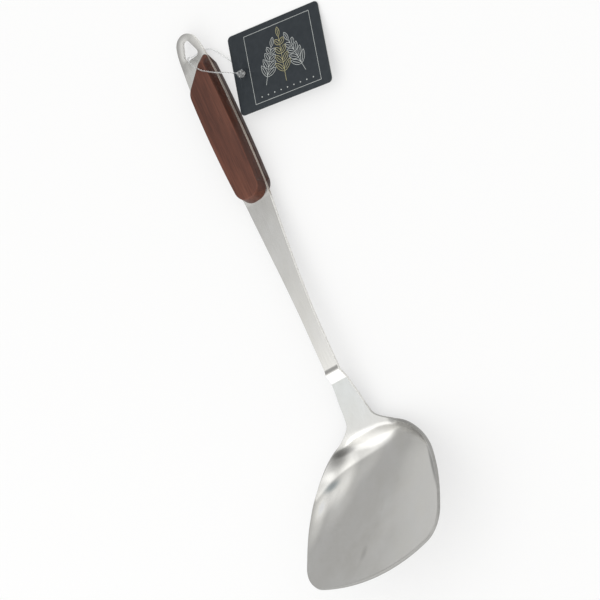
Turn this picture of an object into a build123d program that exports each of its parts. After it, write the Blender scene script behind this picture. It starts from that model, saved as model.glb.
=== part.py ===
from build123d import *
import math
import os

# Cooking spatula of the wok turner kind, lying at rest with the hollow of its blade upwards.
# X runs across, Y along the handle with the hanging loop at the far end, Z up from the table.
# A station is a distance from the tip of the loop towards the front edge of the blade.
# The strap's shares are of its length from the tang's foot to the joggle.

# Driving sizes in millimetres and degrees

overall_length = 366.5
plate_thickness = 2.0
scale_thickness = 6.7

loop_tip_radius = 9.0
loop_tip_angle = 70.0
hole_tip_station = 3.9
hole_tip_radius = 3.2
hole_foot_station = 17.0
hole_foot_half_width = 7.3
hole_corner_radius = 2.6

shank_station = 24.0
shank_half_width = 11.4
tang_widest_station = 68.0
tang_half_width = 12.4
tang_foot_station = 115.0
tang_foot_half_width = 10.7
strap_upper_share = 0.2833
strap_upper_half_width = 8.3
strap_lower_share = 0.5333
strap_lower_half_width = 6.4
strap_waist_share = 0.775
strap_waist_half_width = 5.5

strap_bend_radius = 60.0
strap_rise = 4.6
joggle_length = 11.0
joggle_drop = 2.4
joggle_bend_radius = 7.0

neck_length = 16.0
neck_half_width = 8.9
neck_foot_length = 7.0
neck_foot_half_width = 9.9
neck_fall_angle = 4.5
neck_flare_start = 18.0
neck_flare_radius = 13.0
neck_flare_reach = 8.0
crease_softness = 0.7

blade_length = 104.5
blade_half_width = 54.6
blade_side_length = 17.5
blade_front_radius = 145.0
blade_corner_radius = 17.0
rear_wall_angle = 40.4
rear_wall_reach = 47.4
heel_setback = 29.4
heel_radius = 12.6
heel_floor_angle = 24.8
floor_angle = 45.3
floor_bend_length = 25.1
heel_crown_radius = 68.6
crown_fade_length = 62.9

scale_setback = 0.15
scale_right_start_station = 16.3
scale_left_start_station = 36.0
scale_end_station = 119.6
scale_side_inset = 1.4
scale_right_end_inset = 5.4
scale_left_end_inset = 2.0
scale_foot_inset = 3.2
scale_right_corner_radius = 2.5
scale_left_corner_radius = 9.0
scale_foot_corner_radius = 9.4
scale_ridge_radius = 1.0

pin_radius = 1.5
pin_depth = 4.0
pin_clearance = 0.05
pin_end_clearance = 0.3
pin_count = 3
first_pin_setback = 10.0
last_pin_setback = 18.0

tag_width = 74.0
tag_height = 53.0
tag_thickness = 0.5
tag_corner_radius = 3.0
tag_turn_angle = 10.4
tag_tilt_angle = 9.6
tag_hole_inset = 7.8
tag_hole_radius = 1.4

loop_diameter = 0.9
loop_hinge_x = -2.7
loop_hinge_station = 15.1
lock_radius = 2.5
lock_gap = 0.35
lock_station = 43.7
lock_x = 28.8
lock_height = 8.15

overrun = 5.0
small_step = 0.01

# Shares of the blade from the neck to the front edge, with the half width of its outline there
shoulder_shares = (
    (0.115, 0.209),
    (0.149, 0.278),
    (0.190, 0.405),
    (0.243, 0.582),
    (0.313, 0.733),
    (0.418, 0.875),
    (0.536, 0.956),
)

# How the rear wall swings forward towards the blade's sides
rear_wall_power = 2.9

section_count = 57
section_steps = 14

# Sizes that follow

plate_level = scale_thickness + plate_thickness / 2
first_pin_station = scale_left_start_station + first_pin_setback
last_pin_station = scale_end_station - last_pin_setback
pin_spacing = (last_pin_station - first_pin_station) / (pin_count - 1)
pin_stations = [first_pin_station + i * pin_spacing for i in range(pin_count)]
neck_station = overall_length - blade_length
neck_foot_station = neck_station + neck_foot_length
joggle_end_station = neck_station - neck_length
joggle_station = joggle_end_station - joggle_length
strap_length = joggle_station - tang_foot_station
strap_upper_station = tang_foot_station + strap_upper_share * strap_length
strap_lower_station = tang_foot_station + strap_lower_share * strap_length
strap_waist_station = tang_foot_station + strap_waist_share * strap_length
heel_station = neck_station + heel_setback
front_drop = blade_front_radius - math.sqrt(blade_front_radius**2 - blade_half_width**2)
corner_station = overall_length - front_drop
blade_widest_station = corner_station - blade_side_length
section_half_width = blade_half_width + overrun
neck_slope = math.tan(math.radians(neck_fall_angle))
rear_slope = math.tan(math.radians(rear_wall_angle))
heel_floor_slope = math.tan(math.radians(heel_floor_angle))
floor_slope = math.tan(math.radians(floor_angle))
joggle_end_level = plate_level + strap_rise - joggle_drop
heel_opening = rear_slope + heel_floor_slope
heel_softness = heel_radius * heel_opening**2 / 2
heel_level = plate_thickness / 2 - heel_radius * rear_slope * heel_floor_slope / 2


def at(station):
    """The Y of a station."""
    return overall_length / 2 - station


def place(x, station, z=0):
    return Vector(x, at(station), z)


# Turner body: one stamped sheet with the blade, neck, joggle, strap, tang and hanging loop


def neck_level(station):
    return joggle_end_level - neck_slope * (station - joggle_end_station)


def soft_step(first, second, softness):
    """What a rounded corner adds where two levels meet, nothing where they are far apart."""
    near = max(softness - abs(first - second), 0)
    return near**2 / (4 * softness)


def bowl_level(x, station):
    """Height of the middle of the sheet in the blade: neck, rear wall and floor, softly joined."""
    past_heel = station - heel_station
    on_floor = max(past_heel, 0)
    bend = on_floor - floor_bend_length * (1 - math.exp(-on_floor / floor_bend_length))
    crown = x**2 / (2 * heel_crown_radius) * math.exp(-on_floor / crown_fade_length)
    floor = heel_level + heel_floor_slope * past_heel + crown
    floor += (floor_slope - heel_floor_slope) * bend
    swing = rear_wall_reach * (abs(x) / blade_half_width) ** rear_wall_power
    wall = heel_level - rear_slope * (past_heel - swing)
    growth = 1 - math.exp(-(((station - neck_station) / neck_flare_reach) ** 2))
    flare = max(abs(x) - neck_flare_start, 0) ** 2 / (2 * neck_flare_radius)
    neck = neck_level(station) + growth * flare
    rear = min(neck, wall) - soft_step(neck, wall, crease_softness)
    return max(floor, rear) + soft_step(floor, rear, heel_softness)


def blade_section(station):
    """The closed outline of the sheet across the blade at one station."""
    upper, lower = [], []
    for step in range(-section_steps, section_steps + 1):
        x = step / section_steps * section_half_width
        run = bowl_level(x, station + small_step) - bowl_level(x, station - small_step)
        rise = bowl_level(x + small_step, station) - bowl_level(x - small_step, station)
        slope = math.hypot(run, rise) / (2 * small_step)
        half = plate_thickness / 2 * math.hypot(1, slope)
        middle = bowl_level(x, station)
        upper.append(place(x, station, middle + half))
        lower.append(place(x, station, middle - half))
    edges = [
        Edge.make_spline(upper),
        Edge.make_line(upper[-1], lower[-1]),
        Edge.make_spline(lower[::-1]),
        Edge.make_line(lower[0], upper[0]),
    ]
    return Wire(edges)


def shaped_blade():
    spacing = (blade_length + overrun) / (section_count - 1)
    sections = [blade_section(neck_station + i * spacing) for i in range(section_count)]
    return Solid.make_loft(sections, True)


def shaped_strip():
    """The sheet from the loop to the neck, as wide as the blade, before it is cut out."""
    stations = [
        (-overrun, plate_level),
        (scale_end_station, plate_level),
        (joggle_station, plate_level + strap_rise),
        (joggle_end_station, joggle_end_level),
        (neck_station, neck_level(neck_station)),
    ]
    points = [(at(station), level) for station, level in stations]
    radii = [strap_bend_radius, joggle_bend_radius, joggle_bend_radius]
    with BuildSketch(Plane.YZ) as side:
        with BuildLine():
            FilletPolyline(*points, radius=radii)
        trace(line_width=plate_thickness)
    strip = extrude(side.sketch, amount=section_half_width, both=True)
    end = Location((0, at(neck_station) + overall_length / 2, 0))
    return strip & (end * Box(4 * blade_half_width, overall_length, overall_length))


def half_outline():
    """The right half of the plan outline, from the tip of the loop to the front edge."""
    angle = math.radians(loop_tip_angle)
    arc_end = place(
        loop_tip_radius * math.sin(angle), loop_tip_radius * (1 - math.cos(angle))
    )
    arc_middle = place(
        loop_tip_radius * math.sin(angle / 2), loop_tip_radius * (1 - math.cos(angle / 2))
    )
    tip = ThreePointArc(place(0, 0), arc_middle, arc_end)
    handle = Spline(
        arc_end,
        place(shank_half_width, shank_station),
        place(tang_half_width, tang_widest_station),
        place(tang_foot_half_width, tang_foot_station),
        place(strap_upper_half_width, strap_upper_station),
        place(strap_lower_half_width, strap_lower_station),
        place(strap_waist_half_width, strap_waist_station),
        tangents=[(math.cos(angle), -math.sin(angle)), (0, -1)],
    )
    waist = Line(
        place(strap_waist_half_width, strap_waist_station),
        place(strap_waist_half_width, joggle_station),
    )
    shoulder = [
        place(width * blade_half_width, neck_station + share * blade_length)
        for share, width in shoulder_shares
    ]
    neck = Spline(
        place(strap_waist_half_width, joggle_station),
        place(neck_half_width, neck_station),
        place(neck_foot_half_width, neck_foot_station),
        *shoulder,
        place(blade_half_width, blade_widest_station),
        tangents=[(0, -1), (0, -1)],
    )
    side = Line(
        place(blade_half_width, blade_widest_station),
        place(blade_half_width, corner_station),
    )
    return [tip, handle, waist, neck, side]


def plan_outline():
    edges = half_outline()
    corner = place(blade_half_width, corner_station)
    far_corner = place(-blade_half_width, corner_station)
    front = ThreePointArc(corner, place(0, overall_length), far_corner)
    mirrored = [mirror(edge, about=Plane.YZ) for edge in edges]
    outline = make_face([*edges, front, *mirrored])
    corners = outline.vertices().filter_by(lambda v: abs(v.Y - corner.Y) < small_step)
    return fillet(corners, blade_corner_radius)


def hanging_hole():
    """A rounded triangle that points to the tip of the loop."""
    slant = math.atan2(hole_foot_half_width, hole_foot_station - hole_tip_station + hole_tip_radius)
    apex_station = hole_tip_station + hole_tip_radius - hole_tip_radius / math.sin(slant)
    points = [
        place(0, apex_station),
        place(hole_foot_half_width, hole_foot_station),
        place(-hole_foot_half_width, hole_foot_station),
    ]
    triangle = make_face(Polyline(*points, close=True))
    apex = triangle.vertices().sort_by(Axis.Y)[-1:]
    triangle = fillet(apex, hole_tip_radius)
    feet = triangle.vertices().sort_by(Axis.Y)[:2]
    return fillet(feet, hole_corner_radius)


def turner_body():
    outline = extrude(plan_outline() - hanging_hole(), amount=overall_length)
    sheet = shaped_strip() + shaped_blade()
    body = sheet & outline
    for station in pin_stations:
        body -= pin_hole(station)
    return body


# Pins and handle scales


def pin_hole(station):
    length = plate_thickness + 2 * (pin_depth + pin_end_clearance)
    return Location(place(0, station, plate_level)) * Cylinder(pin_radius + pin_clearance, length)


def scale_pins():
    length = plate_thickness + 2 * pin_depth
    return [
        Location(place(0, station, plate_level)) * Cylinder(pin_radius, length)
        for station in pin_stations
    ]


def scale_face(side_inset, right_inset, left_inset, foot_inset):
    """A handle scale's outline: curved sides, a slanted upper end and a rounded foot."""
    inset = scale_setback + side_inset
    right_start = scale_right_start_station + right_inset
    left_start = scale_left_start_station + left_inset
    foot = scale_end_station - foot_inset
    right = Spline(
        place(shank_half_width - inset, right_start),
        place(tang_half_width - inset, tang_widest_station),
        place(tang_foot_half_width - inset, foot),
    )
    left = Spline(
        place(-(tang_foot_half_width - inset), foot),
        place(-(tang_half_width - inset), tang_widest_station),
        place(-(shank_half_width - inset), left_start),
    )
    bottom = Line(right @ 1, left @ 0)
    top = Line(left @ 1, right @ 0)
    face = make_face([right, bottom, left, top])
    feet = face.vertices().sort_by(Axis.Y)[:2]
    face = fillet(feet, scale_foot_corner_radius - side_inset)
    right_corner = face.vertices().sort_by(Axis.Y)[-1:]
    face = fillet(right_corner, scale_right_corner_radius)
    left_corner = [v for v in face.vertices() if abs(v.Y - at(left_start)) < small_step]
    return fillet(left_corner, scale_left_corner_radius)


def front_scale():
    base_level = plate_level + plate_thickness / 2
    base_outline = scale_face(0, 0, 0, 0)
    top_outline = scale_face(scale_side_inset, scale_right_end_inset, scale_left_end_inset, scale_foot_inset)
    base = Location((0, 0, base_level)) * base_outline
    top = Location((0, 0, base_level + scale_thickness)) * top_outline
    scale = Solid.make_loft([base.wire(), top.wire()], True)
    ridge = scale.faces().sort_by(Axis.Z)[-1].edges()
    scale = scale.fillet(scale_ridge_radius, ridge)
    for station in pin_stations:
        scale -= pin_hole(station)
    return scale


def rear_scale():
    return mirror(front_scale(), about=Plane((0, 0, plate_level)))


# Hang tag, nylon loop and its lock head


def tag_plane():
    """The plane of the tag's back, with its origin at the punched hole."""
    tag_level = lock_height - lock_radius - lock_gap - tag_thickness
    place_of_hole = place(lock_x, lock_station, tag_level)
    turn = Rotation(0, 0, -tag_turn_angle)
    tilt = Rotation(-tag_tilt_angle, 0, 0)
    return Location(place_of_hole) * turn * tilt


def hang_tag():
    centre = Location((tag_width / 2 - tag_hole_inset, 0, 0))
    card = RectangleRounded(tag_width, tag_height, tag_corner_radius)
    face = centre * card - Circle(tag_hole_radius)
    return tag_plane() * extrude(face, amount=tag_thickness)


def loop_route():
    """The nylon loop's points, from the lock head over the handle and back under it."""
    inside = lock_radius / 2
    return [
        place(lock_x - inside, lock_station - inside, lock_height + inside),
        place(11.6, 33.1, 16.7),
        place(3.6, 24.8, 17.0),
        place(loop_hinge_x, loop_hinge_station, 11.2),
        place(loop_hinge_x, loop_hinge_station, 4.0),
        place(4.2, 14.4, 3.4),
        place(12.9, 16.7, 3.1),
        place(18.9, 26.9, 1.4),
        place(24.8, 36.8, 1.0),
        place(lock_x, lock_station, 1.0),
        place(lock_x, lock_station, lock_height - inside),
    ]


def loop_radii(points):
    """Each bend is as large as 0.45 of its shorter run allows."""
    run_share = 0.45
    radii = []
    for before, corner, after in zip(points, points[1:], points[2:]):
        turn = math.radians((corner - before).get_angle(after - corner))
        shorter = min((corner - before).length, (after - corner).length)
        radii.append(run_share * shorter / math.tan(turn / 2))
    return radii


def tag_loop():
    points = loop_route()
    radii = loop_radii(points)
    path = FilletPolyline(*points, radius=radii)
    start = Plane(path @ 0, z_dir=path % 0)
    tube = sweep(start * Circle(loop_diameter / 2), path=path)
    section = math.pi * loop_diameter**2 / 4
    print("loop radii", [round(radius, 2) for radius in radii])
    print("loop length", round(path.length, 1), "tube volume over section", round(tube.volume / section, 1))
    return tube


def loop_lock(loop):
    return Location((lock_x, at(lock_station), lock_height)) * Sphere(lock_radius) - loop


def main():
    os.makedirs("parts", exist_ok=True)
    loop = tag_loop()
    nodes = {
        "turner_body": turner_body(),
        "front_handle_scale": front_scale(),
        "rear_handle_scale": rear_scale(),
        "scale_pins": Compound(children=scale_pins()),
        "hang_tag": hang_tag(),
        "tag_loop": loop,
        "loop_lock": loop_lock(loop),
    }
    for name, shape in nodes.items():
        export_step(shape, f"parts/{name}.step")


main()
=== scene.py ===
import bpy
import math
from mathutils import Matrix, Vector


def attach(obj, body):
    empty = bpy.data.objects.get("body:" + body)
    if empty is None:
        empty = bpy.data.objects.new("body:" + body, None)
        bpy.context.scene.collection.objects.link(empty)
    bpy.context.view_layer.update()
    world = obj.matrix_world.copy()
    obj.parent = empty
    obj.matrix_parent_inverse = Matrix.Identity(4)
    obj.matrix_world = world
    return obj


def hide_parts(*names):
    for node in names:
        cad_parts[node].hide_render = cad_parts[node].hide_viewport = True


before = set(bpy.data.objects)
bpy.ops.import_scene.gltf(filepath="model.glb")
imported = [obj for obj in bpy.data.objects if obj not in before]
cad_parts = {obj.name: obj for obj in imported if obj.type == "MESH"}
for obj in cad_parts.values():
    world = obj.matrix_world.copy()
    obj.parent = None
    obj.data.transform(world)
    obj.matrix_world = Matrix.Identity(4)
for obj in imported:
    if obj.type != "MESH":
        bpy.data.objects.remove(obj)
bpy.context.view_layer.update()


# Turner body: one blank of 2 mm stainless steel, stamped to shape and satin polished.
# The blade, the neck with its joggle, the strap, the tang and the hanging loop are one sheet,
# and only the cut edge is left a little duller than the faces.

# A station is a distance in mm from the tip of the hanging loop towards the front edge
mm = 0.001
loop_end_y = 183.25 * mm
sheet_thickness = 2.0 * mm
edge_round = 0.3 * mm
handle_start = 24.0
neck_station = 262.0
blade_half_width = 54.6
front_station = 366.5
front_radius = 145.0
corner_radius = 17.0

# Half width of the sheet at stations along the handle and the shoulder of the blade
handle_widths = (
    (5.92, 8.457),
    (24.0, 11.4),
    (68.0, 12.4),
    (115.0, 10.7),
    (149.0, 8.3),
    (179.0, 6.4),
    (208.0, 5.5),
    (235.0, 5.5),
    (262.0, 8.9),
    (269.0, 9.9),
    (274.0, 11.41),
    (277.57, 15.18),
    (281.86, 22.11),
    (287.39, 31.78),
    (294.71, 40.02),
    (305.68, 47.78),
    (318.01, 52.2),
    (338.3, 54.6),
    (343.9, 54.6),
)
loop_side_slope = 0.364


def half_width(station):
    """Smooth curve through the widths above."""
    last = len(handle_widths) - 1
    k = max(i for i in range(last) if i == 0 or handle_widths[i][0] <= station)

    def slope(i):
        if i in (0, last):
            return loop_side_slope if i == 0 else 0.0
        before, here, after = handle_widths[i - 1], handle_widths[i], handle_widths[i + 1]
        left = (here[1] - before[1]) / (here[0] - before[0])
        right = (after[1] - here[1]) / (after[0] - here[0])
        if left * right <= 0:
            return 0.0
        share = (here[0] - before[0]) / (after[0] - before[0])
        return left * (1 - share) + right * share

    (s0, w0), (s1, w1) = handle_widths[k], handle_widths[k + 1]
    run = s1 - s0
    t = (station - s0) / run
    return (
        w0 * (1 + 2 * t) * (1 - t) ** 2
        + w1 * t * t * (3 - 2 * t)
        + run * slope(k) * t * (1 - t) ** 2
        - run * slope(k + 1) * t * t * (1 - t)
    )


# The sheet seen from the side: a level tang, a rising strap with a slight bow, then the ridge and
# the step of the joggle, and the neck. Each corner has its station, the slope that it adds and
# how far its softness reaches.
tang_level = 7.7
strap_foot = (119.6, 0.0699, 1.2)
ridge_foot = (236.9, 0.24, 0.3)
ridge_top = (239.4, -0.75, 0.6)
step_foot = (245.53, 0.4213, 0.6)
strap_bow = 0.000256
bow_end_slope = 0.06


def bend(station, corner, slope, reach):
    """How far a straight run has turned away after a soft corner."""
    past = station - corner
    if past < -reach:
        return 0.0
    return slope * (past if past > reach else (past + reach) ** 2 / (4 * reach))


def strap_level(station):
    """Height of the middle of the sheet along the tang, the strap and the neck."""
    bowed = min(max(station - strap_foot[0], 0), ridge_foot[0] - strap_foot[0])
    level = tang_level - strap_bow * bowed**2 - bow_end_slope * max(station - ridge_foot[0], 0)
    for corner in (strap_foot, ridge_foot, ridge_top, step_foot):
        level += bend(station, *corner)
    return level


# The hollow of the blade: the neck breaks into a rear wall that swings forward towards the
# sides, and the wall turns in a soft heel into a floor that rises to the front edge.
heel_station = 291.4
heel_radius = 12.6
rear_slope = math.tan(math.radians(40.4))
rear_wall_reach = 47.4
rear_wall_power = 2.9
heel_floor_slope = math.tan(math.radians(24.8))
floor_slope = math.tan(math.radians(45.3))
floor_bend_length = 25.1
heel_crown_radius = 68.6
crown_fade_length = 62.9
neck_flare_start = 18.0
neck_flare_radius = 13.0
neck_flare_reach = 8.0
crease_softness = 0.7
heel_softness = heel_radius * (rear_slope + heel_floor_slope) ** 2 / 2
heel_level = sheet_thickness / mm / 2 - heel_radius * rear_slope * heel_floor_slope / 2


def soft_step(first, second, softness):
    """What a rounded corner adds where two levels meet, nothing where they are far apart."""
    return max(softness - abs(first - second), 0) ** 2 / (4 * softness)


def bowl_level(x, station):
    """Height of the middle of the sheet in the blade: neck, rear wall and floor, softly joined."""
    past = station - heel_station
    ahead = max(past, 0)
    floor = heel_level + heel_floor_slope * past
    floor += x * x / (2 * heel_crown_radius) * math.exp(-ahead / crown_fade_length)
    turned = ahead - floor_bend_length * (1 - math.exp(-ahead / floor_bend_length))
    floor += (floor_slope - heel_floor_slope) * turned
    swing = rear_wall_reach * (abs(x) / blade_half_width) ** rear_wall_power
    wall = heel_level - rear_slope * (past - swing)
    growth = 1 - math.exp(-(((station - neck_station) / neck_flare_reach) ** 2))
    flare = max(abs(x) - neck_flare_start, 0) ** 2 / (2 * neck_flare_radius)
    neck = strap_level(station) + growth * flare
    rear = min(neck, wall) - soft_step(neck, wall, crease_softness)
    return max(floor, rear) + soft_step(floor, rear, heel_softness)


def on_sheet(x, station):
    """The point in the middle of the sheet's thickness, in metres."""
    level = strap_level(station) if station < neck_station else bowl_level(x, station)
    return Vector((x * mm, loop_end_y - station * mm, level * mm))


# The rounded front corner, seen from above, and the outline from there to the middle
corner_x = blade_half_width - corner_radius
front_centre = front_station - front_radius
corner_station = front_centre + math.sqrt((front_radius - corner_radius) ** 2 - corner_x**2)
front_turn = math.asin(corner_x / (front_radius - corner_radius))
half_corner = (math.pi / 2 - front_turn) / 2
side_length = corner_station - neck_station
side_total = side_length + corner_radius * half_corner
front_total = corner_radius * half_corner + front_radius * front_turn


def corner_point(turn):
    """A point of the rounded front corner, turned from its side towards the front."""
    along, across = math.sin(turn), math.cos(turn)
    return corner_x + corner_radius * across, corner_station + corner_radius * along


def side_point(along):
    """The blade's outline from the neck to the middle of its front corner."""
    if along <= side_length:
        return half_width(neck_station + along), neck_station + along
    return corner_point((along - side_length) / corner_radius)


def front_point(u):
    """The front outline from corner to corner, for u from -1 to 1."""
    along = abs(u) * front_total
    if along < front_radius * front_turn:
        turn = along / front_radius
        x, station = front_radius * math.sin(turn), front_centre + front_radius * math.cos(turn)
    else:
        turn = 2 * half_corner - (along - front_radius * front_turn) / corner_radius
        x, station = corner_point(turn)
    return math.copysign(x, u), station


# Rows of points along the handle, close together where the sheet bends
columns = 72
handle_rows = [handle_start + 4 * i for i in range(24)]
handle_rows += [118.4, 119.2, 120.0, 120.8]
handle_rows += [124 + 4 * i for i in range(28)]
handle_rows += [234.5, 236.4, 236.6, 236.9, 237.2, 237.6, 238.4, 238.8, 239.1, 239.4, 239.7]
handle_rows += [240.0, 241.5, 243.5, 244.8, 245.2, 245.5, 245.9, 246.4, 249.0, 253.0, 257.0]
blade_rows = 80
rows = len(handle_rows) + blade_rows


def only(obj):
    """Selects one object and makes it the active one."""
    bpy.ops.object.select_all(action="DESELECT")
    obj.select_set(True)
    bpy.context.view_layer.objects.active = obj


def add(primitive, **values):
    """A new primitive, made with everything else deselected."""
    bpy.ops.object.select_all(action="DESELECT")
    primitive(**values)
    return bpy.context.object


def finish_with(obj, kind, **values):
    """Adds a modifier with these values and applies it."""
    only(obj)
    modifier = obj.modifiers.new(kind.title(), kind)
    for name, value in values.items():
        setattr(modifier, name, value)
    bpy.ops.object.modifier_apply(modifier=modifier.name)


def round_edges(obj, width, segments, angle):
    """Rounds every edge that turns by more than this many degrees."""
    finish_with(
        obj,
        "BEVEL",
        width=width,
        segments=segments,
        limit_method="ANGLE",
        angle_limit=math.radians(angle),
    )


def smooth(obj, angle):
    """Smooth shading, apart from edges that turn by more than this many degrees."""
    only(obj)
    bpy.ops.object.shade_smooth_by_angle(angle=math.radians(angle))


def face_up():
    """Turns the faces that are being edited the same way, and upwards."""
    obj = bpy.context.object
    bpy.ops.mesh.select_all(action="SELECT")
    bpy.ops.mesh.normals_make_consistent(inside=False)
    bpy.ops.object.mode_set(mode="OBJECT")
    if sum(polygon.normal.z for polygon in obj.data.polygons) < 0:
        obj.data.flip_normals()


def add_ring(points):
    """Adds a ring of points to the mesh that is active, and returns them."""
    bpy.ops.object.mode_set(mode="EDIT")
    bpy.ops.mesh.select_all(action="DESELECT")
    bpy.ops.mesh.primitive_circle_add(vertices=points, radius=0.5)
    bpy.ops.object.mode_set(mode="OBJECT")
    return [vertex for vertex in bpy.context.object.data.vertices if vertex.select]


steel = add(bpy.ops.mesh.primitive_grid_add, x_subdivisions=columns, y_subdivisions=rows, size=1)
steel.name = "steel_turner_body"
blade_corner_x, blade_corner_station = side_point(side_total)
for vertex in steel.data.vertices:
    # Where the point lies in the grid: u goes from side to side, v from the neck to the front
    u = round((vertex.co.x + 0.5) * columns) / columns * 2 - 1
    row = round((0.5 - vertex.co.y) * rows)
    if row < len(handle_rows):
        station = handle_rows[row]
        x = u * half_width(station)
    else:
        v = (row - len(handle_rows)) / blade_rows
        edge_x, edge_station = side_point(v * side_total)
        front_x, front_edge = front_point(u)
        x = u * edge_x + v * (front_x - u * blade_corner_x)
        station = edge_station + v * (front_edge - blade_corner_station)
    vertex.co = on_sheet(x, station)

# The loop's outer outline, an open chain from one side of the handle round the tip to the other.
# The round tip takes the middle share of its points.
chain_points = 45
tip_radius = 9
tip_half_turn = math.radians(70)
tip_share = 0.6
tip_end = handle_widths[0][0]
chain = add_ring(chain_points)
for i, vertex in enumerate(chain):
    t = abs(i / (chain_points - 1) * 2 - 1)
    if t > tip_share:
        station = tip_end + (t - tip_share) / (1 - tip_share) * (handle_start - tip_end)
        x = half_width(station)
    else:
        angle = tip_half_turn * t / tip_share
        x, station = tip_radius * math.sin(angle), tip_radius - tip_radius * math.cos(angle)
    vertex.co = on_sheet(x if i * 2 > chain_points else -x, station)
first, last = chain[0].index, chain[-1].index
for edge in steel.data.edges:
    edge.select = set(edge.vertices) == {first, last}
for vertex in steel.data.vertices:
    vertex.select = vertex.index in (first, last)
bpy.ops.object.mode_set(mode="EDIT")
bpy.ops.mesh.select_mode(type="EDGE")
bpy.ops.mesh.delete(type="EDGE")

# The hanging hole, a rounded triangle that points to the tip, given by the x, the station and
# the radius of its corners, and the ring of steel round it
hole_points = 60
hole_rounds = ((0.0, 7.67, 3.2), (3.42, 14.4, 2.6), (-3.42, 14.4, 2.6))
for i, vertex in enumerate(add_ring(hole_points)):
    angle = 2 * math.pi * (i + 0.5) / hole_points
    out_x, out_s = math.cos(angle), math.sin(angle)
    x, s, r = max(hole_rounds, key=lambda c: c[0] * out_x + c[1] * out_s + c[2])
    vertex.co = on_sheet(x + r * out_x, s + r * out_s)
bpy.ops.object.mode_set(mode="EDIT")
bpy.ops.mesh.select_mode(type="VERT")
bpy.ops.mesh.select_all(action="SELECT")
bpy.ops.mesh.remove_doubles(threshold=0.02 * mm)
bpy.ops.mesh.select_all(action="DESELECT")
bpy.ops.mesh.select_mode(type="EDGE")
bpy.ops.object.mode_set(mode="OBJECT")
# The open edges of the loop's outline, the hole and the start of the handle bound the ring
faces_at = {}
for polygon in steel.data.polygons:
    for key in polygon.edge_keys:
        faces_at[key] = faces_at.get(key, 0) + 1
loop_y = loop_end_y - handle_start * mm - 0.1 * mm
for edge in steel.data.edges:
    lowest = min(steel.data.vertices[i].co.y for i in edge.vertices)
    edge.select = faces_at.get(tuple(sorted(edge.vertices)), 0) < 2 and lowest > loop_y
bpy.ops.object.mode_set(mode="EDIT")
bpy.ops.mesh.fill(use_beauty=True)
face_up()


def new_material(name):
    """A node material, with its node tree and its shader."""
    material = bpy.data.materials.new(name)
    material.use_nodes = True
    return material, material.node_tree, material.node_tree.nodes["Principled BSDF"]


def coordinate(tree, kind, axis):
    """One coordinate of a point's own place, or of the way that its surface faces."""
    split = tree.nodes.new("ShaderNodeSeparateXYZ")
    tree.links.new(tree.nodes.new("ShaderNodeTexCoord").outputs[kind], split.inputs[0])
    return split.outputs[axis]


def map_onto_piece(tree, texture, kind, location, turn, scale):
    """Lays a texture in the piece's own coordinates, turned about the upright axis."""
    place = tree.nodes.new("ShaderNodeTexCoord")
    mapping = tree.nodes.new("ShaderNodeMapping")
    mapping.vector_type = kind
    mapping.inputs["Location"].default_value = location
    mapping.inputs["Rotation"].default_value[2] = math.radians(turn)
    mapping.inputs["Scale"].default_value = scale
    tree.links.new(place.outputs["Object"], mapping.inputs["Vector"])
    tree.links.new(mapping.outputs["Vector"], texture.inputs["Vector"])


def noise(tree, scale, stretch=(1, 1, 1), turn=0.0, **settings):
    """A noise pattern in the piece's own coordinates, stretched and turned."""
    texture = tree.nodes.new("ShaderNodeTexNoise")
    texture.inputs["Scale"].default_value = scale
    for name, value in settings.items():
        texture.inputs[name.title()].default_value = value
    map_onto_piece(tree, texture, "POINT", (0, 0, 0), turn, stretch)
    return texture.outputs["Fac"]


def ramp(tree, source, *stops):
    """A colour ramp over a value, from stops of place and colour or grey."""
    node = tree.nodes.new("ShaderNodeValToRGB")
    elements = node.color_ramp.elements
    while len(elements) < len(stops):
        elements.new(0.5)
    for element, (position, colour) in zip(elements, stops):
        element.position = position
        element.color = (*colour, 1) if isinstance(colour, tuple) else (colour,) * 3 + (1,)
    tree.links.new(source, node.inputs["Fac"])
    return node.outputs["Color"]


def multiply(tree, first, second, share=1.0):
    """One colour multiplied by another, never brighter than white."""
    node = tree.nodes.new("ShaderNodeMix")
    node.data_type = "RGBA"
    node.clamp_result = True
    node.blend_type = "MULTIPLY"
    node.inputs[0].default_value = share
    # Its colour sockets come after the ones for values and vectors
    tree.links.new(first, node.inputs[6])
    tree.links.new(second, node.inputs[7])
    return node.outputs[2]


def calculate(tree, operation, *values):
    """One step of arithmetic on other nodes' values and plain numbers."""
    node = tree.nodes.new("ShaderNodeMath")
    node.operation = operation
    for socket, value in zip(node.inputs, values):
        if isinstance(value, float):
            socket.default_value = value
        else:
            tree.links.new(value, socket)
    return node.outputs[0]


def graded(tree, source, start, end, low=0.0, high=1.0, kind="LINEAR"):
    """A value that goes from low to high while its source goes from start to end."""
    node = tree.nodes.new("ShaderNodeMapRange")
    node.interpolation_type = kind
    for name, value in zip(("From Min", "From Max", "To Min", "To Max"), (start, end, low, high)):
        node.inputs[name].default_value = value
    tree.links.new(source, node.inputs["Value"])
    return node.outputs["Result"]


def by_station(tree, *stops):
    """A colour that changes along the piece, from stops of station and colour or grey."""
    front_y = loop_end_y - front_station * mm
    share = graded(tree, coordinate(tree, "Object", "Y"), loop_end_y, front_y)
    return ramp(tree, share, *((station / front_station, colour) for station, colour in stops))


# A painted patch of light or shade has its full tone from this share of the way from its edge to
# its middle
painted_patch_core = 0.88


def painted_patch(tree, colour, mask, x, station, across, along, turn, tone):
    """The colour with a soft oval of painted light or shade over it, lighter or darker by the
    tone.
    """
    oval = tree.nodes.new("ShaderNodeTexGradient")
    oval.gradient_type = "SPHERICAL"
    middle = (x * mm, loop_end_y - station * mm, 0)
    map_onto_piece(tree, oval, "TEXTURE", middle, turn, (across * mm, along * mm, 1))
    strength = calculate(tree, "MULTIPLY", oval.outputs["Fac"], mask)
    shade = ramp(tree, strength, (0.0, 1.0), (painted_patch_core, tone))
    shade.node.color_ramp.interpolation = "EASE"
    return multiply(tree, colour, shade)


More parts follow.
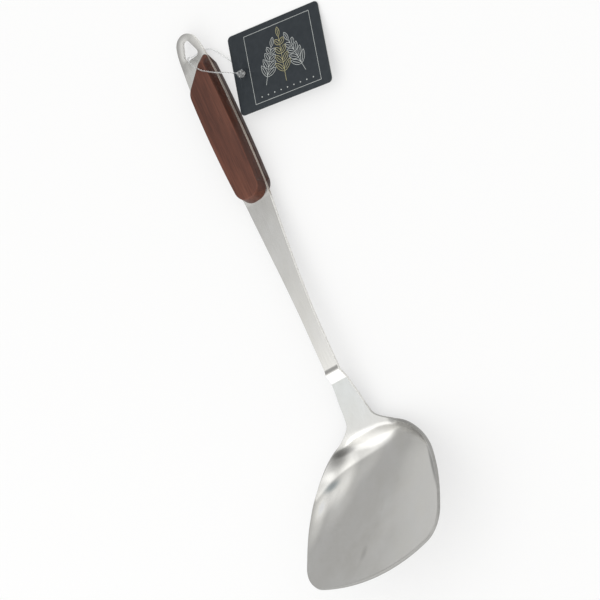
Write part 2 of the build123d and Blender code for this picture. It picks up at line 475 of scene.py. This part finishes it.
def relief(tree, shader, *layers):
    """Bump layers, each with its height and its depth in metres, one on top of the other."""
    below = None
    for height, depth in layers:
        node = tree.nodes.new("ShaderNodeBump")
        node.inputs["Distance"].default_value = depth
        tree.links.new(height, node.inputs["Height"])
        if below:
            tree.links.new(below, node.inputs["Normal"])
        below = node.outputs["Normal"]
    tree.links.new(below, shader.inputs["Normal"])


# The steel shows soft dents left by the press, cloudy polish and a fine brushing along the handle
satin_steel, tree, shader = new_material("satin_steel")
shader.inputs["Metallic"].default_value = 1.0
dents = noise(tree, 34, (1, 0.8, 1), 20, detail=1.0, roughness=0.4)
clouds = noise(tree, 55, (1, 0.6, 1), 0, detail=4.0, roughness=0.6)
brushing = noise(tree, 2600, (1, 0.02, 1), 0, detail=2.0)
tint = ramp(tree, clouds, (0.3, (0.53, 0.522, 0.50)), (0.7, (0.57, 0.566, 0.555)))
colour = multiply(tree, tint, ramp(tree, brushing, (0.3, 0.93), (0.7, 1.0)))
# The strap gets a painted reflection that brightens towards the step, the step's drop a painted
# dark band with a painted highlight at its foot, and the neck a colder painted reflection
painted_reflection_bands = by_station(
    tree,
    (110, 0.90),
    (170, 0.98),
    (215, 1.10),
    (236.7, 1.22),
    (237.3, 0.84),
    (239.1, 0.84),
    (239.9, 1.30),
    (244.8, 1.30),
    (245.6, 0.90),
    (246.5, (0.99, 1.025, 1.05)),
    (268, (0.98, 1.0, 1.01)),
    (282, 1.0),
)
colour = multiply(tree, colour, painted_reflection_bands)
# Painted reflections on the upper face of the hollow, brighter and darker oval patches: the x and
# the station of the middle, the half sizes across and along in mm, the turn in degrees and the
# tone
upper_face = graded(tree, coordinate(tree, "Normal", "Z"), 0.0, 0.3)
for painted_reflection in (
    (-4, 284.5, 24, 7, -12, 1.40),
    (-28, 289.5, 11, 7, 30, 0.44),
    (-37, 297.5, 6, 4, 10, 1.35),
    (-28, 303.5, 20, 8, 50, 1.60),
    (-36.5, 303.5, 8, 3.8, 15, (0.56, 0.61, 0.64)),
    (-42, 310, 16, 8, 50, 1.55),
    (-47, 319, 20, 6, 68, 1.45),
    (-30, 312, 26, 11, 48, 1.25),
    (-8, 299, 20, 8, 32, 1.20),
    (50.5, 320, 20, 2.4, -75, 0.48),
    (-11.5, 350.8, 6, 3.0, 60, 0.86),
):
    colour = painted_patch(tree, colour, upper_face, *painted_reflection)
tree.links.new(colour, shader.inputs["Base Color"])
tree.links.new(ramp(tree, clouds, (0.3, 0.18), (0.7, 0.27)), shader.inputs["Roughness"])
relief(tree, shader, (dents, 0.45 * mm), (brushing, 0.0008 * mm))

# The cut edge of the sheet is only deburred, so it is duller, with shear lines and a darker colour
# that is painted shade;
# along the piece it gets a painted highlight at the loop, the strap and the neck, is pinkish beige
# along the tang, and deeper painted shade on the blade's rim
cut_edge, tree, shader = new_material("satin_steel_cut_edge")
shader.inputs["Metallic"].default_value = 1.0
shear_lines = noise(tree, 1500, (1, 1, 0.1), 0, detail=3.0)
edge_tint = ramp(tree, shear_lines, (0.3, (0.40, 0.395, 0.38)), (0.7, (0.52, 0.515, 0.50)))
edge_highlight_and_shade = by_station(
    tree,
    (14, 1.7),
    (24, (0.80, 0.70, 0.62)),
    (118, (0.86, 0.78, 0.72)),
    (122, 1.7),
    (262, 1.7),
    (285, 0.75),
)
tree.links.new(multiply(tree, edge_tint, edge_highlight_and_shade), shader.inputs["Base Color"])
tree.links.new(ramp(tree, shear_lines, (0.3, 0.32), (0.7, 0.45)), shader.inputs["Roughness"])
relief(tree, shader, (shear_lines, 0.03 * mm))

steel.data.materials.append(satin_steel)
steel.data.materials.append(cut_edge)
finish_with(
    steel,
    "SOLIDIFY",
    thickness=sheet_thickness,
    offset=0,
    use_even_offset=True,
    material_offset_rim=1,
)
round_edges(steel, edge_round, 3, 50)
smooth(steel, 35)
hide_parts("turner_body")
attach(steel, "turner")


# Handle scales: two slabs of oiled reddish brown hardwood with a bevelled rim, one on each face
# of the tang, held by glue and by blind dowel pins that go through the tang.

wood, tree, shader = new_material("handle_wood")
grain_turn = 4.0
bands = noise(tree, 210, (1, 0.09, 1), grain_turn, detail=3.0, roughness=0.55, distortion=0.6)
streaks = noise(tree, 900, (1, 0.045, 1), grain_turn, detail=4.0, roughness=0.6, distortion=0.3)
pores = noise(tree, 3000, (1, 0.035, 1), grain_turn, detail=1.0)
mottling = noise(tree, 45, (1, 0.5, 1), grain_turn, detail=2.0)
colour = ramp(
    tree,
    bands,
    (0.32, (0.067, 0.0190, 0.0098)),
    (0.50, (0.087, 0.0262, 0.0140)),
    (0.68, (0.108, 0.0345, 0.0190)),
)
colour = multiply(tree, colour, ramp(tree, streaks, (0.34, 0.80), (0.50, 1.0), (0.70, 1.08)))
colour = multiply(tree, colour, ramp(tree, pores, (0.33, 0.62), (0.41, 1.0)), 0.8)
colour = multiply(tree, colour, ramp(tree, mottling, (0.3, 0.90), (0.7, 1.10)))
# The sides of the slab get painted shade, and the sloping faces round its ridge a painted
# highlight
upright = calculate(tree, "ABSOLUTE", coordinate(tree, "Normal", "Z"))
painted_side_shade_and_ridge_highlight = ramp(tree, upright, (0.10, 0.58), (0.30, 0.62), (0.55, 1.25), (0.90, 1.25), (0.97, 1.0))
colour = multiply(tree, colour, painted_side_shade_and_ridge_highlight)
# The rear slab, below the tang, gets painted shade, and both get a lighter, cooler painted sheen
# at the foot
above_tang = graded(tree, coordinate(tree, "Object", "Z"), 7.0 * mm, 8.4 * mm)
rear_slab_painted_shade = ramp(tree, above_tang, (0.0, (0.62, 0.68, 0.72)), (0.5, 1.0))
colour = multiply(tree, colour, rear_slab_painted_shade)
painted_foot_sheen = by_station(tree, (30, (0.96, 0.94, 0.92)), (75, 1.0), (115, (1.10, 1.14, 1.16)))
colour = multiply(tree, colour, painted_foot_sheen)
tree.links.new(colour, shader.inputs["Base Color"])
shader.inputs["Specular IOR Level"].default_value = 0.32
tree.links.new(ramp(tree, streaks, (0.3, 0.50), (0.7, 0.36)), shader.inputs["Roughness"])
relief(tree, shader, (streaks, 0.03 * mm), (pores, 0.02 * mm))


def merge_doubles(obj, distance):
    """Merges points that lie nearer to each other than this."""
    only(obj)
    bpy.ops.object.mode_set(mode="EDIT")
    bpy.ops.mesh.select_all(action="SELECT")
    bpy.ops.mesh.remove_doubles(threshold=distance)
    bpy.ops.object.mode_set(mode="OBJECT")


for side in ("front", "rear"):
    node_name = side + "_handle_scale"
    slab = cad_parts[node_name].copy()
    slab.data = slab.data.copy()
    slab.name = "wood_" + side + "_scale"
    bpy.context.scene.collection.objects.link(slab)
    slab.data.materials.clear()
    slab.data.materials.append(wood)
    merge_doubles(slab, 0.01 * mm)
    smooth(slab, 40)
    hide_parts(node_name)
    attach(slab, "turner")

# The pins keep their solids and are plain turned aluminium
pin_metal, tree, shader = new_material("pin_metal")
shader.inputs["Metallic"].default_value = 1.0
turning = noise(tree, 4000, (0.1, 0.1, 1), 0, detail=2.0)
tree.links.new(ramp(tree, turning, (0.3, 0.55), (0.7, 0.68)), shader.inputs["Base Color"])
tree.links.new(ramp(tree, turning, (0.3, 0.30), (0.7, 0.42)), shader.inputs["Roughness"])
relief(tree, shader, (turning, 0.01 * mm))
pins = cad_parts["scale_pins"]
pins.data.materials.clear()
pins.data.materials.append(pin_metal)


# Hang tag: a die-cut card with rounded corners, coated dark on both faces over a pale core,
# with a punched hole and a small printed design of leaf sprigs inside a fine border.

tag_width = 74.0 * mm
tag_height = 53.0 * mm
tag_thickness = 0.5 * mm
tag_corner = 3.0 * mm
tag_hole_inset = 7.8 * mm
tag_hole_radius = 1.4 * mm
tag_middle = tag_width / 2 - tag_hole_inset
tag_place = (
    Matrix.Translation((28.8 * mm, loop_end_y - 43.7 * mm, 4.8 * mm))
    @ Matrix.Rotation(math.radians(-10.4), 4, "Z")
    @ Matrix.Rotation(math.radians(-9.6), 4, "X")
)


def card_coat(name, dark, light, roughness):
    """A printed or coated card surface, slightly mottled by the fibres under it."""
    material, tree, shader = new_material(name)
    mottle = noise(tree, 260, detail=5.0, roughness=0.65)
    fibres = noise(tree, 1800, (1, 0.3, 1), 35, detail=3.0)
    tree.links.new(ramp(tree, mottle, (0.3, dark), (0.7, light)), shader.inputs["Base Color"])
    shader.inputs["Roughness"].default_value = roughness
    shader.inputs["Specular IOR Level"].default_value = 0.25
    relief(tree, shader, (fibres, 0.01 * mm))
    return material


card_charcoal = card_coat("tag_card", (0.017, 0.022, 0.027), (0.025, 0.031, 0.037), 0.55)
card_core = card_coat("tag_card_core", (0.30, 0.30, 0.29), (0.42, 0.42, 0.41), 0.9)
silver_ink = card_coat("tag_print_silver", (0.40, 0.42, 0.41), (0.52, 0.54, 0.53), 0.45)
gold_ink = card_coat("tag_print_gold", (0.36, 0.33, 0.17), (0.46, 0.42, 0.24), 0.45)


def lay_down(obj):
    """Puts an object's place, turn and size into its mesh."""
    only(obj)
    bpy.ops.object.transform_apply(location=True, rotation=True, scale=True)


card = add(bpy.ops.mesh.primitive_plane_add, size=1, location=(tag_middle, 0, 0))
card.name = "card_hang_tag"
card.scale = (tag_width, tag_height, 1)
lay_down(card)
bpy.ops.object.mode_set(mode="EDIT")
bpy.ops.mesh.select_all(action="SELECT")
bpy.ops.mesh.bevel(offset=tag_corner, segments=8, affect="VERTICES")
bpy.ops.mesh.delete(type="ONLY_FACE")
bpy.ops.mesh.select_all(action="DESELECT")
bpy.ops.mesh.primitive_circle_add(vertices=32, radius=tag_hole_radius)
bpy.ops.mesh.select_all(action="SELECT")
bpy.ops.mesh.fill(use_beauty=True)
face_up()
card.data.materials.append(card_charcoal)
card.data.materials.append(card_core)
finish_with(card, "SOLIDIFY", thickness=tag_thickness, offset=1, material_offset_rim=1)
round_edges(card, 0.06 * mm, 2, 50)

# The printed design on the upper face: each print is a thin film of ink that sits in the coat
ink_rise = 0.01 * mm
line_width = 0.28 * mm
midrib_share = 0.6
leaf_width = 3.4 * mm
leaf_spread = 42
leaf_pointedness = 1.6
printed = []


def print_on_card(shape, middle, turn, ink):
    """Gives a flat shape its ink and its place on the card."""
    shape.data.materials.append(ink)
    shape.rotation_euler[2] = math.radians(turn)
    shape.location = (*middle, tag_thickness + ink_rise)
    lay_down(shape)
    printed.append(shape)


def print_line(middle, length, turn, ink):
    """One straight line."""
    line = add(bpy.ops.mesh.primitive_plane_add, size=1)
    line.scale = (length, line_width, 1)
    print_on_card(line, middle, turn, ink)


def print_leaf(middle, length, width, turn, ink):
    """The outline of one leaf, pointed at both ends, with a midrib."""
    leaf = add(bpy.ops.mesh.primitive_circle_add, vertices=20, radius=0.5, fill_type="NGON")
    for vertex in leaf.data.vertices:
        across = math.copysign(abs(2 * vertex.co.y) ** leaf_pointedness / 2, vertex.co.y)
        vertex.co = (vertex.co.x * length, across * width, 0)
    bpy.ops.object.mode_set(mode="EDIT")
    bpy.ops.mesh.select_all(action="SELECT")
    bpy.ops.mesh.inset(thickness=line_width, depth=0)
    bpy.ops.mesh.delete(type="ONLY_FACE")
    bpy.ops.mesh.select_all(action="DESELECT")
    bpy.ops.mesh.primitive_plane_add(size=1)
    bpy.ops.transform.resize(value=(length * midrib_share, line_width, 1))
    bpy.ops.object.mode_set(mode="OBJECT")
    print_on_card(leaf, middle, turn, ink)


def go(start, length, turn):
    """The point on the card at this length from a start, in the direction of the turn."""
    angle = math.radians(turn)
    return start[0] + math.cos(angle) * length, start[1] + math.sin(angle) * length


# A fine border, a little past the tag's middle so that it clears the hole
border_length = 53 * mm
border_height = 45 * mm
border_middle = tag_middle + 2.5 * mm
for side in (-0.5, 0.5):
    print_line((border_middle, side * border_height), border_length, 0, silver_ink)
    print_line((border_middle + side * border_length, 0), border_height, 90, silver_ink)

# Three sprigs, each with four pairs of leaves that get shorter, and one leaf at its tip
for foot_u, foot_v, stem_length, stem_turn, ink in (
    (16, -13, 24, 68, silver_ink),
    (32, -15, 29, 90, gold_ink),
    (48, -13, 24, 112, silver_ink),
):
    foot = (foot_u * mm, foot_v * mm)
    reach = stem_length * mm
    print_line(go(foot, reach / 2, stem_turn), reach, stem_turn, ink)
    for pair in range(4):
        joint = go(foot, reach * (0.22 + 0.2 * pair), stem_turn)
        leaf_length = (9.0 - 1.2 * pair) * mm
        for leaf_turn in (stem_turn - leaf_spread, stem_turn + leaf_spread):
            leaf_middle = go(joint, leaf_length / 2, leaf_turn)
            print_leaf(leaf_middle, leaf_length, leaf_width, leaf_turn, ink)
    print_leaf(go(foot, reach + 3.2 * mm, stem_turn), 6.5 * mm, 3.0 * mm, stem_turn, ink)

# A row of small dots under them
dot_radius = 0.45 * mm
for place in range(9):
    dot = add(bpy.ops.mesh.primitive_circle_add, vertices=12, radius=dot_radius, fill_type="NGON")
    print_on_card(dot, ((11 + 5.2 * place) * mm, -19.2 * mm), 0, silver_ink)


def join(first, others):
    """Takes the other objects into the first one's mesh."""
    only(first)
    for other in others:
        other.select_set(True)
    bpy.ops.object.join()


film = printed[0]
join(film, printed[1:])
finish_with(film, "SOLIDIFY", thickness=2 * ink_rise, offset=-1)
join(card, [film])
card.matrix_world = tag_place
lay_down(card)
smooth(card, 35)
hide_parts("hang_tag")
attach(card, "tag")


# Nylon loop and its lock: a clear moulded thread with a snap bead on one end. The thread goes
# through the hanging hole and the tag, and its free end is pushed into the bead for good.

nylon, tree, shader = new_material("clear_nylon")
haze = noise(tree, 900, detail=3.0)
tree.links.new(
    ramp(tree, haze, (0.3, (0.86, 0.87, 0.87)), (0.7, (0.95, 0.96, 0.96))),
    shader.inputs["Base Color"],
)
tree.links.new(ramp(tree, haze, (0.3, 0.16), (0.7, 0.30)), shader.inputs["Roughness"])
shader.inputs["Transmission Weight"].default_value = 0.9
shader.inputs["IOR"].default_value = 1.5
relief(tree, shader, (haze, 0.02 * mm))

lock_middle = Vector((28.8 * mm, loop_end_y - 43.7 * mm, 8.15 * mm))
lock_radius = 2.5 * mm
thread_way = Vector((-15.95, 9.35, 7.3)).normalized()
lock = add(bpy.ops.mesh.primitive_uv_sphere_add, segments=32, ring_count=20, radius=lock_radius)
lock.name = "nylon_loop_lock"


def select_band(low, high):
    """Selects the bead's faces between two levels, as shares of its radius."""
    bpy.ops.object.mode_set(mode="OBJECT")
    for polygon in lock.data.polygons:
        polygon.select = low < polygon.center.z / lock_radius < high
    bpy.ops.object.mode_set(mode="EDIT")


bpy.ops.object.mode_set(mode="EDIT")
bpy.ops.mesh.select_all(action="DESELECT")
bpy.ops.mesh.select_mode(type="FACE")
# Moulding seam round the middle
select_band(-0.12, 0.12)
bpy.ops.mesh.inset(thickness=0.10 * mm, depth=0.05 * mm)
# The collar where the thread grows out of the bead, and the socket that takes its free end
for low, high, out, size in ((0.93, 1.1, 0.45 * mm, 0.55), (-1.1, -0.93, -0.18 * mm, 0.7)):
    select_band(low, high)
    bpy.ops.mesh.inset(thickness=0.05 * mm)
    bpy.ops.mesh.extrude_region_move(TRANSFORM_OT_translate={"value": (0, 0, out)})
    bpy.ops.transform.resize(value=(size, size, 0.2))
bpy.ops.object.mode_set(mode="OBJECT")
round_edges(lock, 0.05 * mm, 2, 35)
merge_doubles(lock, 0.003 * mm)
bead_turn = thread_way.to_track_quat("Z", "Y").to_matrix().to_4x4()
lock.matrix_world = Matrix.Translation(lock_middle) @ bead_turn
lay_down(lock)
smooth(lock, 40)
lock.data.materials.append(nylon)
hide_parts("loop_lock")
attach(lock, "loop")

# The thread's way from the bead through the hanging hole and the tag and back to the bead, as
# x, station and height in mm
thread_route = (
    (27.55, 42.45, 9.4),
    (11.6, 33.1, 16.7),
    (3.6, 24.8, 17.0),
    (-2.7, 15.1, 11.2),
    (-2.7, 15.1, 4.0),
    (4.2, 14.4, 3.4),
    (12.9, 16.7, 3.1),
    (18.9, 26.9, 1.4),
    (24.8, 36.8, 1.0),
    (28.8, 43.7, 1.0),
    (28.8, 43.7, 6.9),
)
thread_curve = bpy.data.curves.new("nylon_thread", "CURVE")
thread_curve.dimensions = "3D"
line = thread_curve.splines.new("NURBS")
line.points.add(len(thread_route) - 1)
for point, (x, station, level) in zip(line.points, thread_route):
    point.co = (x * mm, loop_end_y - station * mm, level * mm, 1)
line.order_u = 3
line.use_endpoint_u = True
line.resolution_u = 12
thread_curve.bevel_depth = 0.45 * mm
thread_curve.bevel_resolution = 4
thread_curve.use_fill_caps = True
thread_curve.materials.append(nylon)
thread = bpy.data.objects.new("nylon_thread", thread_curve)
bpy.context.scene.collection.objects.link(thread)
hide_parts("tag_loop")
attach(thread, "loop")


# Studio: a white floor under the turner, a pale light tent with a softbox, and the camera at the
# photograph's viewing angle.

floor = add(bpy.ops.mesh.primitive_plane_add, size=8, location=(0, 0, 0))
floor.name = "studio_floor"
floor_white, tree, shader = new_material("floor_white")
shader.inputs["Base Color"].default_value = (0.8, 0.8, 0.8, 1)
shader.inputs["Roughness"].default_value = 1.0
shader.inputs["Specular IOR Level"].default_value = 0.0
# The floor looks near white to the camera, to metal and to glass, and keeps a soft shadow
rays = tree.nodes.new("ShaderNodeLightPath")
camera_share = calculate(tree, "MULTIPLY", rays.outputs["Is Camera Ray"], 0.55)
glossy_share = calculate(tree, "MULTIPLY", rays.outputs["Is Glossy Ray"], 0.20)
glass_share = calculate(tree, "MULTIPLY", rays.outputs["Is Transmission Ray"], 0.55)
seen = calculate(tree, "MAXIMUM", camera_share, glossy_share)
seen = calculate(tree, "MAXIMUM", seen, glass_share)
white = tree.nodes.new("ShaderNodeEmission")
mixed = tree.nodes.new("ShaderNodeMixShader")
tree.links.new(seen, mixed.inputs[0])
tree.links.new(shader.outputs[0], mixed.inputs[1])
tree.links.new(white.outputs[0], mixed.inputs[2])
tree.links.new(mixed.outputs[0], tree.nodes["Material Output"].inputs["Surface"])
floor.data.materials.append(floor_white)

# The room: a large pale light tent on one side, the greyer room on the other, and the gap
# in the tent that the camera looks through
world = bpy.data.worlds.new("studio")
bpy.context.scene.world = world
world.use_nodes = True
room = world.node_tree
background = room.nodes["Background"]
background.inputs["Color"].default_value = (1, 1, 0.99, 1)
direction = room.nodes.new("ShaderNodeTexCoord").outputs["Generated"]


def room_zone(middle, start, end, low, high):
    """A soft-edged zone of the room round one direction, from low outside to high inside."""
    dot = room.nodes.new("ShaderNodeVectorMath")
    dot.operation = "DOT_PRODUCT"
    room.links.new(direction, dot.inputs[0])
    dot.inputs[1].default_value = Vector(middle).normalized()
    return graded(room, dot.outputs["Value"], start, end, low, high, "SMOOTHSTEP")


tent = room_zone((0.46, -0.679, 0.573), -0.10, 0.14, 0.70, 1.35)
gap = room_zone((0.03, -0.75, 0.66), 0.93, 0.985, 1.0, 0.35)
room.links.new(calculate(room, "MULTIPLY", tent, gap), background.inputs["Strength"])

softbox_light = bpy.data.lights.new("softbox", "AREA")
softbox_light.shape = "RECTANGLE"
softbox_light.size = 0.9
softbox_light.size_y = 0.9
softbox_light.energy = 1.6
softbox = bpy.data.objects.new("softbox", softbox_light)
bpy.context.scene.collection.objects.link(softbox)
softbox.location = (-0.75, -0.75, 0.8)
softbox.rotation_euler = Vector(softbox.location).to_track_quat("Z", "Y").to_euler()
softbox.visible_camera = False

# The camera's columns are its directions to the right, up and back, and its place in metres
camera_data = bpy.data.cameras.new("camera")
camera_data.lens = 127.27
camera_data.sensor_width = 36
camera = bpy.data.objects.new("camera", camera_data)
bpy.context.scene.collection.objects.link(camera)
camera.matrix_world = Matrix(
    (
        (0.71014, 0.41603, 0.56799, 0.7605),
        (-0.41533, 0.89896, -0.13917, -0.1925),
        (-0.56851, -0.13707, 0.81118, 1.0988),
        (0, 0, 0, 1),
    )
)
bpy.context.scene.camera = camera
bpy.context.scene.view_settings.view_transform = "Standard"

bpy.context.view_layer.update()
